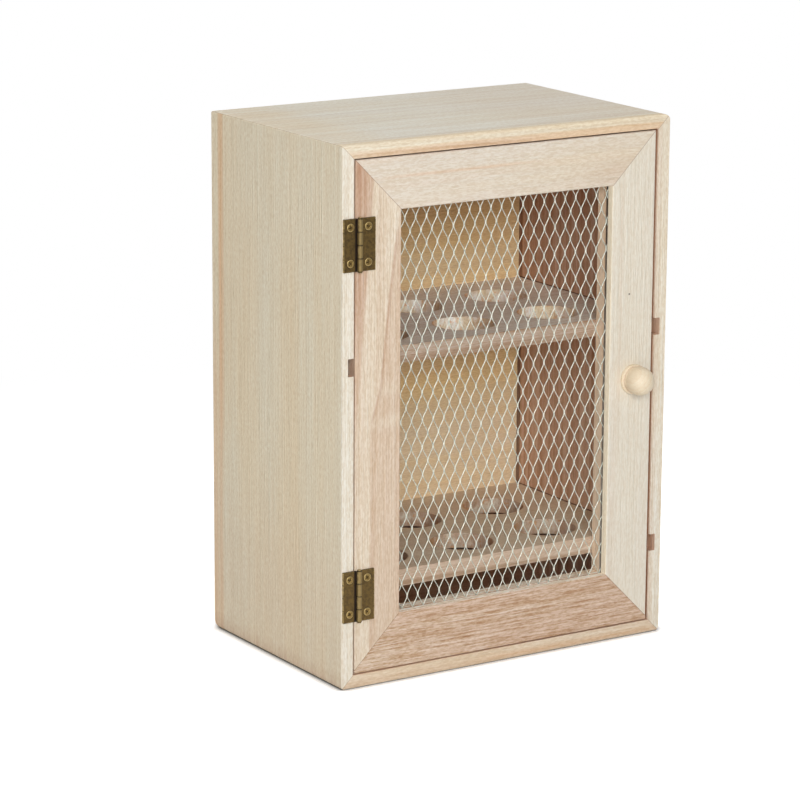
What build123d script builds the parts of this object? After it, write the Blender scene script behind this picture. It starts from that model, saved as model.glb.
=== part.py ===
"""Small free-standing egg cabinet: a mitred box with two pierced shelves and a wire-mesh door.

Frame: origin at the middle of the base, X to the right, Y to the back, Z up, in millimetres.
The door is hung on the left on two small butt hinges and is drawn closed.
"""

import os
from math import atan2, ceil, degrees, radians, tan

from build123d import *

# Carcass
cabinet_width = 200.0
cabinet_depth = 130.0
cabinet_height = 280.0
board_thickness = 7.0
top_left_radius = 1.0
top_right_radius = 3.0
bottom_corner_radius = 2.5
front_top_radius = 2.0
front_bottom_radius = 1.2
back_top_radius = 1.0
back_bottom_radius = 5.0

# Back panel, let into a rabbet round the back of the carcass
panel_thickness = 3.0
rabbet_width = 3.5
panel_clearance = 0.15

# Shelves, housed in dadoes that run out at the front edges of the sides
shelf_thickness = 9.0
dado_depth = 3.3
dado_clearance = 0.05
lower_shelf_height = 45.3
upper_shelf_height = 163.3
shelf_to_door = 0.5
egg_hole_diameter = 33.0
egg_column_pitch = 53.5
egg_row_pitch = 50.0
egg_front_share = 0.36  # part of the spare depth of a shelf that lies in front of the holes
egg_columns = 3
egg_rows = 2

# Door frame
door_thickness = 13.0
frame_width = 26.8
bottom_rail_width = 28.7
gap_hinge_side = 1.0
gap_knob_side = 1.8
gap_top = 0.8
gap_bottom = 0.6
frame_chamfer = 0.4

# Wire mesh, two layers of slanting strands welded where they cross and held in a kerf in the frame
kerf_setback = 4.4
kerf_width = 1.6
kerf_depth = 3.5
sheet_edge_gap = 0.3
strand_width = 0.6
strand_thickness = 0.5
weld_film = 0.02
diamond_width = 6.53
diamond_height = 14.0
mesh_tilt = 1.4

# Butt hinges
hinge_height = 26.8
leaf_width = 9.3
leaf_thickness = 0.9
leaf_corner = 0.4
knuckle_radius = 1.35
knuckle_gap = 0.12
knuckle_side_gap = 0.25
knuckle_count = 4
pin_radius = 0.7
pin_running_clearance = 0.06
pin_standoff = 1.45
pin_head_radius = 1.05
pin_head_height = 0.45
pin_from_outside = 9.8
lower_hinge_inset = 41.4
upper_hinge_inset = 42.3

# Hinge screws, their countersunk heads as deep as a leaf is thick
screw_offset = 5.2
screw_spacing = 18.1
screw_head_radius = 2.2
screw_shank_radius = 1.0
screw_length = 9.0
screw_clearance = 0.05

# Turned knob and the screw that holds it from inside the door
knob_base_radius = 8.0
knob_base_thickness = 2.0
knob_base_bevel = 0.5
knob_bead_radius = 7.2
knob_bead_thickness = 0.6
knob_neck_radius = 6.4
knob_neck_height = 3.4
knob_ball_radius = 7.5
knob_ball_centre = 6.9
knob_pilot_depth = 9.0
knob_pilot_spare = 0.5
knob_screw_shank_radius = 1.6
knob_screw_head_radius = 3.5
knob_screw_head_height = 2.0
knob_screw_head_bevel = 1.0
knob_from_edge = 11.9
knob_above_middle = 1.4

# Magnet catch: a magnet in the upper shelf and a steel disc let into the knob stile
magnet_radius = 3.0
magnet_thickness = 3.0
strike_radius = 2.8
strike_thickness = 1.2
catch_clearance = 0.05

# Staples that hold the back panel in its rabbet
staple_crown = 10.0
staple_leg = 12.0
staple_wire_thickness = 0.7
staple_wire_width = 1.1
staple_clearance = 0.05
staple_inset = 40.0

# Places worked out from the sizes above
half_width = cabinet_width / 2
front_y = -cabinet_depth / 2
back_y = cabinet_depth / 2
rabbet_y = back_y - panel_thickness
opening_left = -half_width + board_thickness
opening_right = half_width - board_thickness
opening_top = cabinet_height - board_thickness
door_left = opening_left + gap_hinge_side
door_right = opening_right - gap_knob_side
door_bottom = board_thickness + gap_bottom
door_top = opening_top - gap_top
door_back_y = front_y + door_thickness
shelf_front_y = door_back_y + shelf_to_door
window_width = door_right - door_left - 2 * frame_width
window_height = door_top - door_bottom - frame_width - bottom_rail_width
window_x = (door_left + door_right) / 2
window_z = (door_bottom + bottom_rail_width + door_top - frame_width) / 2
kerf_front_y = front_y + kerf_setback
pin_x = -half_width + pin_from_outside
pin_y = front_y - pin_standoff
leaf_front_y = front_y - leaf_thickness
knob_x = door_right - knob_from_edge
knob_z = (door_bottom + door_top) / 2 + knob_above_middle
catch_x = door_right - frame_width / 2
catch_z = upper_shelf_height + shelf_thickness / 2
hinge_heights = {"lower": door_bottom + lower_hinge_inset, "upper": door_top - upper_hinge_inset}
screw_rises = (-screw_spacing / 2, screw_spacing / 2)
cabinet_screw_x = pin_x - screw_offset
door_screw_x = pin_x + screw_offset
countersink_angle = 2 * degrees(atan2(screw_head_radius - screw_shank_radius, leaf_thickness))
pilot_radius = screw_shank_radius + screw_clearance

os.makedirs("parts", exist_ok=True)


def facing_front(y):
    """Drawing plane at depth y, seen from the front: X to the right, Z up, normal to the front."""
    return Plane.XZ.offset(-y)


def facing_back(y):
    """Drawing plane at depth y whose normal points to the back, for holes driven from behind."""
    return Plane(origin=(0, y, 0), x_dir=(-1, 0, 0), z_dir=(0, 1, 0))


def driven(x, y, z, from_back=False):
    """Plane of a hole or screw head at (x, y, z); the hole runs away from the side it is driven from."""
    return Plane(origin=(x, y, z), z_dir=(0, 1 if from_back else -1, 0))


def turning_plane(x, y, z):
    """Drawing plane of a turned profile: local X is the radius and local Y runs out to the front."""
    return Plane(origin=(x, y, z), x_dir=(1, 0, 0), z_dir=(0, 0, -1))


def finish(piece, name):
    """Label one finished piece and write it out."""
    piece.part.label = name
    export_step(piece.part, f"parts/{name}.step")


def mitred_members(left, bottom, right, top, width, bottom_width):
    """Corner points in X and Z of the four members of a rectangular frame, mitred at 45 degrees.

    Where the bottom member is wider than the rest, it keeps square ends below its mitres; where it is
    narrower, the uprights keep theirs.
    """
    step = bottom_width - width
    square = [(left, bottom), (right, bottom)]
    feet = [(left + max(-step, 0), bottom + max(step, 0)), (right - max(-step, 0), bottom + max(step, 0))]
    heads = [(left, top), (right, top)]
    sills = [(left + width, bottom + bottom_width), (right - width, bottom + bottom_width)]
    lintels = [(left + width, top - width), (right - width, top - width)]
    return {
        "bottom": [feet[0], *(square if step > 0 else []), feet[1], sills[1], sills[0]],
        "right": [feet[1], *(square[1:] if step < 0 else []), heads[1], lintels[1], sills[1]],
        "top": [heads[1], heads[0], lintels[0], lintels[1]],
        "left": [heads[0], *(square[:1] if step < 0 else []), feet[0], sills[0], lintels[0]],
    }


def eased_outline(width, radii):
    """Rectangle of the cabinet's height standing on the origin, each corner rounded by its own radius."""
    with BuildSketch() as outline:
        with Locations((0, cabinet_height / 2)):
            Rectangle(width, cabinet_height)
        rows = outline.vertices().group_by(Axis.Y)
        corners = [*rows[0].sort_by(Axis.X), *rows[-1].sort_by(Axis.X)]
        for corner, radius in zip(corners, radii):
            fillet(outline.vertices().sort_by_distance(corner)[0], radius)
    return outline.sketch


front_outline = eased_outline(
    cabinet_width, (bottom_corner_radius, bottom_corner_radius, top_left_radius, top_right_radius)
)
side_outline = eased_outline(
    cabinet_depth, (front_bottom_radius, back_bottom_radius, front_top_radius, back_top_radius)
)
carcass_members = mitred_members(
    -half_width, 0, half_width, cabinet_height, board_thickness, board_thickness
)
panel_width = cabinet_width - 2 * (board_thickness - rabbet_width)
panel_height = cabinet_height - 2 * (board_thickness - rabbet_width)
staple_side_x = opening_right + rabbet_width / 2
staple_end_z = opening_top + rabbet_width / 2
staple_side_pitch = cabinet_height / 2 - staple_inset
staple_end_x = half_width - staple_inset
staple_places = {
    "left": [(-staple_side_x, cabinet_height / 2 + k * staple_side_pitch) for k in (-1, 0, 1)],
    "right": [(staple_side_x, cabinet_height / 2 + k * staple_side_pitch) for k in (-1, 0, 1)],
    "bottom": [(k * staple_end_x, cabinet_height - staple_end_z) for k in (-1, 1)],
    "top": [(k * staple_end_x, staple_end_z) for k in (-1, 1)],
}


def staples(sides, clearance=0.0):
    """The staples along the named sides, flush with the back, or with a clearance the slots they fill."""
    with BuildPart() as group:
        for side in sides:
            upright = side in ("left", "right")
            for x, z in staple_places[side]:
                plane = Plane(
                    origin=(x, back_y, z),
                    x_dir=(0, 0, 1) if upright else (1, 0, 0),
                    z_dir=(1, 0, 0) if upright else (0, 0, -1),
                )
                with BuildSketch(plane):
                    with Locations((0, staple_leg / 2)):
                        Rectangle(staple_crown + 2 * clearance, staple_leg + 2 * clearance)
                    with Locations((0, (staple_leg + staple_wire_thickness) / 2 + clearance)):
                        Rectangle(staple_crown - 2 * (staple_wire_thickness + clearance),
                                  staple_leg - staple_wire_thickness, mode=Mode.SUBTRACT)
                extrude(amount=staple_wire_width / 2 + clearance, both=True)
    return group


def carcass_board(side):
    """One mitred board of the carcass, with its share of the back rabbet and of the staples' slots."""
    slots = staples([side], staple_clearance)
    with BuildPart() as board:
        with BuildSketch(facing_front(front_y)):
            add(front_outline)
            with BuildLine():
                Polyline(*carcass_members[side], close=True)
            make_face(mode=Mode.INTERSECT)
        extrude(amount=-cabinet_depth)
        with BuildSketch(Plane.YZ.offset(-half_width)):
            add(side_outline)
        extrude(amount=cabinet_width, mode=Mode.INTERSECT)
        with BuildSketch(facing_front(rabbet_y)):
            with Locations((0, cabinet_height / 2)):
                Rectangle(panel_width, panel_height)
        extrude(amount=-panel_thickness, mode=Mode.SUBTRACT)
        add(slots.part, mode=Mode.SUBTRACT)
    return board


def side_board(side, inward):
    """A side of the carcass: a mitred board with a dado for each shelf, open at the front edge."""
    blank = carcass_board(side)
    dado_x = -inward * (opening_right + dado_depth / 2)
    with BuildPart() as board:
        add(blank.part)
        for height in (lower_shelf_height, upper_shelf_height):
            with Locations((dado_x, (front_y + rabbet_y) / 2, height + shelf_thickness / 2)):
                Box(dado_depth, rabbet_y - front_y, shelf_thickness + 2 * dado_clearance,
                    mode=Mode.SUBTRACT)
    return board


def screw_pilots(screw_x):
    """Planes of the pilot holes for one row of hinge screws, in the wood behind the leaves."""
    return [driven(screw_x, front_y, height + rise) for height in hinge_heights.values() for rise in screw_rises]


# Top, bottom and right side
top_board = carcass_board("top")
finish(top_board, "top_board")

bottom_board = carcass_board("bottom")
finish(bottom_board, "bottom_board")

right_side = side_board("right", inward=-1)
finish(right_side, "right_side")

# Left side, with pilot holes for the hinge screws in its front edge
left_blank = side_board("left", inward=1)
with BuildPart() as left_side:
    add(left_blank.part)
    with Locations(*screw_pilots(cabinet_screw_x)):
        Hole(pilot_radius, screw_length)
finish(left_side, "left_side")

# Back panel
panel_slots = staples(staple_places, staple_clearance)
with BuildPart() as back_panel:
    with BuildSketch(facing_front(rabbet_y)):
        with Locations((0, cabinet_height / 2)):
            Rectangle(panel_width - 2 * panel_clearance, panel_height - 2 * panel_clearance)
    extrude(amount=-panel_thickness)
    with BuildSketch(Plane.YZ.offset(-half_width)):
        add(side_outline)
    extrude(amount=cabinet_width, mode=Mode.INTERSECT)
    add(panel_slots.part, mode=Mode.SUBTRACT)
finish(back_panel, "back_panel")

back_staples = staples(staple_places)
finish(back_staples, "back_staples")


def shelf_board(height):
    """A shelf pierced with round egg holes, its ends long enough to fill the dadoes."""
    length = cabinet_width - 2 * (board_thickness - dado_depth + dado_clearance)
    depth = rabbet_y - shelf_front_y
    pattern_depth = egg_row_pitch * (egg_rows - 1) + egg_hole_diameter
    middle_y = shelf_front_y + (depth - pattern_depth) * egg_front_share + pattern_depth / 2
    with BuildPart() as shelf:
        with BuildSketch(Plane.XY.offset(height)):
            with Locations((0, shelf_front_y + depth / 2)):
                Rectangle(length, depth)
            with Locations((0, middle_y)):
                with GridLocations(egg_column_pitch, egg_row_pitch, egg_columns, egg_rows):
                    Circle(egg_hole_diameter / 2, mode=Mode.SUBTRACT)
        extrude(amount=shelf_thickness)
    return shelf


lower_shelf = shelf_board(lower_shelf_height)
finish(lower_shelf, "lower_shelf")

# Upper shelf, with the magnet's blind hole in its front edge
upper_blank = shelf_board(upper_shelf_height)
with BuildPart() as upper_shelf:
    add(upper_blank.part)
    with Locations(driven(catch_x, shelf_front_y, catch_z)):
        Hole(magnet_radius + catch_clearance, magnet_thickness)
finish(upper_shelf, "upper_shelf")

with BuildPart() as catch_magnet:
    with BuildSketch(facing_front(shelf_front_y)):
        with Locations((catch_x, catch_z)):
            Circle(magnet_radius)
    extrude(amount=-magnet_thickness)
finish(catch_magnet, "catch_magnet")

door_members = mitred_members(
    door_left, door_bottom, door_right, door_top, frame_width, bottom_rail_width
)


def door_member(side):
    """One mitred member of the door frame, kerfed along its inner edge and eased in front."""
    with BuildPart() as member:
        with BuildSketch(facing_front(front_y)):
            with BuildLine():
                Polyline(*door_members[side], close=True)
            make_face()
        extrude(amount=-door_thickness)
        along = Axis.Z if side in ("left", "right") else Axis.X
        chamfer(member.edges().group_by(Axis.Y)[0].filter_by(along), frame_chamfer)
        with BuildSketch(facing_front(kerf_front_y)):
            with Locations((window_x, window_z)):
                Rectangle(window_width + 2 * kerf_depth, window_height + 2 * kerf_depth)
        extrude(amount=-kerf_width, mode=Mode.SUBTRACT)
    return member


door_top_rail = door_member("top")
finish(door_top_rail, "door_top_rail")

door_bottom_rail = door_member("bottom")
finish(door_bottom_rail, "door_bottom_rail")

# Hinge stile, with pilot holes for the hinge screws
hinge_stile_blank = door_member("left")
with BuildPart() as door_hinge_stile:
    add(hinge_stile_blank.part)
    with Locations(*screw_pilots(door_screw_x)):
        Hole(pilot_radius, screw_length)
finish(door_hinge_stile, "door_hinge_stile")

# Knob stile, bored through for the knob screw and recessed behind for the strike
knob_stile_blank = door_member("right")
with BuildPart() as door_knob_stile:
    add(knob_stile_blank.part)
    with Locations(driven(knob_x, front_y, knob_z)):
        Hole(knob_screw_shank_radius + screw_clearance, door_thickness)
    with Locations(driven(catch_x, door_back_y, catch_z, from_back=True)):
        Hole(strike_radius + catch_clearance, strike_thickness)
finish(door_knob_stile, "door_knob_stile")

# Strike, a steel disc that meets the magnet
with BuildPart() as catch_strike:
    with BuildSketch(facing_back(door_back_y)):
        with Locations((-catch_x, catch_z)):
            Circle(strike_radius)
    extrude(amount=-strike_thickness)
finish(catch_strike, "catch_strike")

# Wire mesh: slanting strands in two layers, cut to the sheet's outline, with no stub at its corners
strand_angle = Vector(diamond_width, 0).get_angle(Vector(diamond_width, diamond_height))
sheet_width = window_width + 2 * (kerf_depth - sheet_edge_gap)
sheet_height = window_height + 2 * (kerf_depth - sheet_edge_gap)
strand_reach = sheet_width / 2 + sheet_height / 2 / tan(radians(strand_angle - mesh_tilt))
strands_each_side = ceil(strand_reach / diamond_width)
strand_length = 2 * (sheet_width + sheet_height)
shortest_strand_area = strand_width * diamond_height / 2
mesh_middle_y = kerf_front_y + kerf_width / 2
with BuildPart() as wire_mesh:
    for slant, layer_front_y in (
        (strand_angle, mesh_middle_y - weld_film / 2 - strand_thickness),
        (-strand_angle, mesh_middle_y + weld_film / 2),
    ):
        with BuildSketch(facing_front(layer_front_y)) as layer:
            with Locations(Location((window_x, window_z), mesh_tilt)):
                with GridLocations(diamond_width, 1, 2 * strands_each_side + 1, 1):
                    Rectangle(strand_length, strand_width, rotation=slant)
            with Locations((window_x, window_z)):
                Rectangle(sheet_width, sheet_height, mode=Mode.INTERSECT)
            stubs = layer.faces().filter_by(lambda face: face.area < shortest_strand_area)
            if stubs:
                add(stubs, mode=Mode.SUBTRACT)
        extrude(amount=-strand_thickness)
finish(wire_mesh, "wire_mesh")

# Knob, turned in one piece: base disc, bead, neck and ball
neck_start = knob_base_thickness + knob_bead_thickness
ball_foot_radius = (knob_ball_radius**2 - (knob_ball_centre - knob_neck_height) ** 2) ** 0.5
with BuildPart() as knob:
    with BuildSketch(turning_plane(knob_x, front_y, knob_z)):
        with BuildLine():
            profile = Polyline(
                (0, 0),
                (knob_base_radius, 0),
                (knob_base_radius, knob_base_thickness - knob_base_bevel),
                (knob_base_radius - knob_base_bevel, knob_base_thickness),
                (knob_bead_radius, knob_base_thickness),
                (knob_bead_radius, neck_start),
                (knob_neck_radius, knob_neck_height),
                (ball_foot_radius, knob_neck_height),
            )
            ball = ThreePointArc(
                profile @ 1,
                (knob_ball_radius, knob_ball_centre),
                (0, knob_ball_centre + knob_ball_radius),
            )
            Line(ball @ 1, profile @ 0)
        make_face()
    revolve(axis=Axis((knob_x, front_y, knob_z), (0, -1, 0)))
    with Locations(driven(knob_x, front_y, knob_z, from_back=True)):
        Hole(knob_screw_shank_radius + screw_clearance, knob_pilot_depth)
finish(knob, "knob")

with BuildPart() as knob_screw:
    with BuildSketch(facing_back(door_back_y)):
        with Locations((-knob_x, knob_z)):
            Circle(knob_screw_head_radius)
    extrude(amount=knob_screw_head_height)
    chamfer(knob_screw.edges().group_by(Axis.Y)[-1], knob_screw_head_bevel)
    with BuildSketch(facing_back(door_back_y)):
        with Locations((-knob_x, knob_z)):
            Circle(knob_screw_shank_radius)
    extrude(amount=knob_pilot_spare - door_thickness - knob_pilot_depth)
finish(knob_screw, "knob_screw")

knuckle_length = (hinge_height - (knuckle_count - 1) * knuckle_gap) / knuckle_count


def knuckle_middle(height, index):
    """Height of the middle of one knuckle, counted from the top of the hinge."""
    return height + (hinge_height - knuckle_length) / 2 - index * (knuckle_length + knuckle_gap)


def hinge_leaf(height, side, first_knuckle, bore_radius):
    """A leaf with every other knuckle of the barrel, cut back beside the other leaf's knuckles."""
    with BuildPart() as leaf:
        with BuildSketch(facing_front(front_y)) as plate:
            with Locations((pin_x + side * leaf_width / 2, height)):
                Rectangle(leaf_width, hinge_height)
            outer = plate.vertices().group_by(Axis.X)[0 if side < 0 else -1]
            fillet(outer, leaf_corner)
        extrude(amount=leaf_thickness)
        for index in range(knuckle_count):
            with Locations((pin_x, pin_y, knuckle_middle(height, index))):
                if index % 2 == first_knuckle:
                    Cylinder(knuckle_radius, knuckle_length)
                else:
                    Box(2 * (knuckle_radius + knuckle_side_gap), 4 * knuckle_radius,
                        knuckle_length + 2 * knuckle_gap, mode=Mode.SUBTRACT)
        with Locations((pin_x, pin_y, height)):
            Cylinder(bore_radius, hinge_height, mode=Mode.SUBTRACT)
        screw_x = pin_x + side * screw_offset
        with Locations(*[driven(screw_x, leaf_front_y, height + rise) for rise in screw_rises]):
            CounterSinkHole(pilot_radius, screw_head_radius + screw_clearance, leaf_thickness,
                            countersink_angle)
    return leaf


def hinge_pin(height):
    """The pin of one hinge, with a low head formed at each end."""
    with BuildPart() as pin:
        with Locations((pin_x, pin_y, height)):
            Cylinder(pin_radius, hinge_height + 2 * knuckle_gap)
        for end in (-1, 1):
            middle = height + end * (hinge_height / 2 + knuckle_gap + pin_head_height / 2)
            with Locations((pin_x, pin_y, middle)):
                Cylinder(pin_head_radius, pin_head_height)
    return pin


def hinge_screws(screw_x):
    """The four screws of one row of leaves, each a countersunk head on a plain shank."""
    with BuildPart() as screws:
        for height in hinge_heights.values():
            for rise in screw_rises:
                centre = (screw_x, leaf_front_y, height + rise)
                with BuildSketch(turning_plane(*centre)):
                    with BuildLine():
                        Polyline(
                            (0, 0),
                            (0, -screw_length),
                            (screw_shank_radius, -screw_length),
                            (screw_shank_radius, -leaf_thickness),
                            (screw_head_radius, 0),
                            close=True,
                        )
                    make_face()
                revolve(axis=Axis(centre, (0, -1, 0)))
    return screws


for place, height in hinge_heights.items():
    cabinet_leaf = hinge_leaf(height, -1, first_knuckle=1, bore_radius=pin_radius)
    finish(cabinet_leaf, f"{place}_hinge_cabinet_leaf")
    door_leaf = hinge_leaf(height, 1, first_knuckle=0, bore_radius=pin_radius + pin_running_clearance)
    finish(door_leaf, f"{place}_hinge_door_leaf")
    finish(hinge_pin(height), f"{place}_hinge_pin")

finish(hinge_screws(cabinet_screw_x), "cabinet_hinge_screws")
finish(hinge_screws(door_screw_x), "door_hinge_screws")
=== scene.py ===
"""Egg cabinet with a wire mesh door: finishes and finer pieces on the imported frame, and a small studio.

It is laid out as an add-on and run as a script. Lengths are in metres, x runs to the right, y to the
back and z up, with the middle of the cabinet's footprint at the origin.
"""

import math

import bpy
import numpy as np
from bpy.props import FloatProperty, FloatVectorProperty, IntProperty, PointerProperty
from mathutils import Euler, Matrix, Vector


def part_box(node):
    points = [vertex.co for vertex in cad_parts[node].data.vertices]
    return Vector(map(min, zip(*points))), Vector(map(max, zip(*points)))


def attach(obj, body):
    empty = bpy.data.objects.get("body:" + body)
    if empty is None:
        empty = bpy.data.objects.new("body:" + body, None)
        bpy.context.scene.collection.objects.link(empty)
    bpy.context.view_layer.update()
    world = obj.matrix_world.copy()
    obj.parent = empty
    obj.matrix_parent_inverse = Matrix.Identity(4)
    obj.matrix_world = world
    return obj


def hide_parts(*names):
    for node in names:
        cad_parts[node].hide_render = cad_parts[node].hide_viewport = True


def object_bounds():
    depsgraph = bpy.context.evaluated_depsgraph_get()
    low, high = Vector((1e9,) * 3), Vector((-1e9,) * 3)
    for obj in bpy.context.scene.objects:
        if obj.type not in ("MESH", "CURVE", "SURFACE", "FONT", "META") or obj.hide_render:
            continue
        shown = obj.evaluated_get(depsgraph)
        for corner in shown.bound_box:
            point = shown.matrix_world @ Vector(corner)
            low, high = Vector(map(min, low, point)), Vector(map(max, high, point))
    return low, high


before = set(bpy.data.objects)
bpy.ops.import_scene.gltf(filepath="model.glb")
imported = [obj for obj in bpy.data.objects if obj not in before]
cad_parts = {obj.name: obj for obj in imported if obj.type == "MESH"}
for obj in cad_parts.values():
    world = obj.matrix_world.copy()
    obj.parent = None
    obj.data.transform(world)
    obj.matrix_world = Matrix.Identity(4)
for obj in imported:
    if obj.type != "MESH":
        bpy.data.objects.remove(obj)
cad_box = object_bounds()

bl_info = {
    "name": "Egg Cabinet",
    "version": (1, 0, 0),
    "blender": (4, 5, 0),
    "location": "View3D > Sidebar > Egg Cabinet",
    "description": "Finishes the packed egg cabinet and sets up its studio",
    "category": "Object",
}

MM = 0.001
AXES = {"x": 0, "y": 1, "z": 2}
# Turns that bring a grain along x, y or z to run along z.
GRAIN_TURNS = {"x": (0, -math.pi / 2, 0), "y": (math.pi / 2, 0, 0), "z": (0, 0, 0)}

# A plain board's figure; spacing, wander and ripple are in millimetres.
PLAIN_BOARD = {
    "spacing": 6, "wander": 6, "ripple": 0.6, "rings": 0.5, "fibre": 0.13,
    "dash": 0.35, "band": 0.03, "speckle": 0.07, "pore": 0.12, "tint": 0.5,
}
# Zones softer than this have a wavering outline.
FIRM_SOFTNESS = 0.3
# Low, high and softness of zones along y, in millimetres.
FRONT_EDGE = (-66, -64.6, 0.2)
FRONT_BAND = (-66, -64, 0.5)
BEHIND_EDGE = (-64.9, 70, 0.05)
PANEL_FACE = (50, 63.6, 0.25)

# Of each lamp: its direction from the cabinet, its distance and its size.
LAMPS = {
    "key": ((-0.4, -0.87, 0.32), 1.8, 0.85),
    "fill": ((-0.95, -0.3, 0.28), 1.7, 1.1),
    "top": ((0, 0.1, 1), 1.7, 1.1),
}

# Plain metals by node: name, bright and dull colours, size of the blotches in millimetres, added roughness.
METALS = {
    "back_staples": ("staple_wire", (0.4, 0.4, 0.41), (0.24, 0.24, 0.25), 2, 0.0),
    "catch_magnet": ("magnet_nickel", (0.42, 0.42, 0.41), (0.28, 0.28, 0.28), 3, 0.0),
    "catch_strike": ("strike_steel", (0.36, 0.36, 0.36), (0.24, 0.24, 0.25), 3, 0.05),
    "knob_screw": ("knob_screw_steel", (0.38, 0.38, 0.36), (0.25, 0.25, 0.24), 2, 0.05),
}

SCREW_RISE = 9.05 * MM  # from a hinge's middle to its screws
# Of each row of screws: its body, and how far each screw's cross is turned.
SCREW_ROWS = {
    "cabinet_hinge_screws": ("cabinet", (0.3, 1.1, 0.75, 0.15)),
    "door_hinge_screws": ("door", (0.9, 0.5, 0.2, 1.3)),
}
# Profile of a screw's head, as shares of its radius, and of the cone and shank under it, in millimetres.
HEAD_RINGS = np.array([0.08, 0.16, 0.25, 0.34, 0.43, 0.52, 0.62, 0.74, 0.87, 0.97, 1.0])
SHANK_RADII = np.array([2.15, 1.0, 0.95, 0.9, 0.15])
SCREW_SIDES = 48

# Profile of the knob's base and bead: radius and height in millimetres.
KNOB_BASE = [(7.4, 0.0), (7.85, 0.2), (8.0, 0.6), (8.0, 1.4), (7.85, 1.9), (7.3, 2.1)]
KNOB_BEAD = [(6.7, 2.2), (6.75, 2.6), (6.95, 2.95), (6.9, 3.3), (6.6, 3.5), (6.4, 3.6), (6.45, 3.75)]
# The ball's radius, its reach below its middle, and the height at which it meets the neck.
KNOB_BALL, KNOB_UNDERSIDE, KNOB_NECK = 7.5, 8.6, 4.0
# Of the egg holes: the pitches of their columns and rows, the line between the rows, and their radius.
EGG_HOLES = {"column_pitch": 53.5 * MM, "row_pitch": 50 * MM, "middle": 0.98 * MM, "radius": 16.5 * MM}
# Painted shade: the egg holes' walls are dark at their bottom, up to this height over the shelf's underside.
PAINTED_SHADE_RIM = 0.9 * MM  # how high the dark rim under an egg hole reaches


def srgb(red, green, blue):
    """The linear colour that a screen shows for these values from 0 to 255."""
    shares = (channel / 255 for channel in (red, green, blue))
    return tuple(c / 12.92 if c <= 0.04045 else ((c + 0.055) / 1.055) ** 2.4 for c in shares)


def colour(name, description, red, green, blue):
    """A colour that a user may change."""
    shade = srgb(red, green, blue)
    return FloatVectorProperty(
        name=name, description=description, subtype="COLOR", size=3, min=0, max=1, default=shade
    )


def length(name, description, millimetres):
    """A length that a user may change."""
    return FloatProperty(
        name=name, description=description, unit="LENGTH", min=0, precision=5, default=millimetres * MM
    )


def share(name, description, default, most=1.0):
    """A plain number from nothing to the most that makes sense."""
    return FloatProperty(
        name=name, description=description, subtype="FACTOR", min=0, max=most, default=default
    )


def angle(name, description, degrees):
    """An angle that a user may change."""
    return FloatProperty(name=name, description=description, subtype="ANGLE", default=math.radians(degrees))


def power(name, description, watts):
    """The power of a lamp."""
    return FloatProperty(name=name, description=description, unit="POWER", min=0, default=watts)


class StageSettings(bpy.types.PropertyGroup):
    """Camera, lamps and floor."""

    camera_place: FloatVectorProperty(
        name="Camera Place",
        description="Where the camera stands",
        subtype="TRANSLATION",
        default=(-0.9964, -1.5247, 0.5649),
    )
    camera_heading: angle("Heading", "Turn of the view from straight back towards the right", 32.527)
    camera_dip: angle("Dip", "How far the view looks down", 13.545)
    camera_roll: angle("Roll", "Turn of the camera about its own line of sight", 0.327)
    focal_length: FloatProperty(
        name="Focal Length", description="Lens of the camera", unit="CAMERA", min=1, default=159.13
    )
    floor_size: length("Floor Size", "Side of the square floor", 2600)
    floor_colour: colour("Floor Colour", "Pale floor that bounces light back up", 228, 228, 228)
    floor_shadow_gain: share("Shadow Gain", "How steeply the seen floor darkens under the cabinet", 2.1, 4)
    floor_glow: share("Floor Glow", "Light that the camera sees from the floor itself", 0.12, 2)
    contact_reach: length("Contact Reach", "How far the thin shadow under the edges reaches", 7)
    sky_strength: share("Sky Strength", "Even light from all round", 0.18, 4)
    key_power: power("Key Power", "Main lamp, in front", 21)
    fill_power: power("Fill Power", "Lamp on the left", 4.5)
    top_power: power("Top Power", "Lamp overhead", 11)


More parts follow.
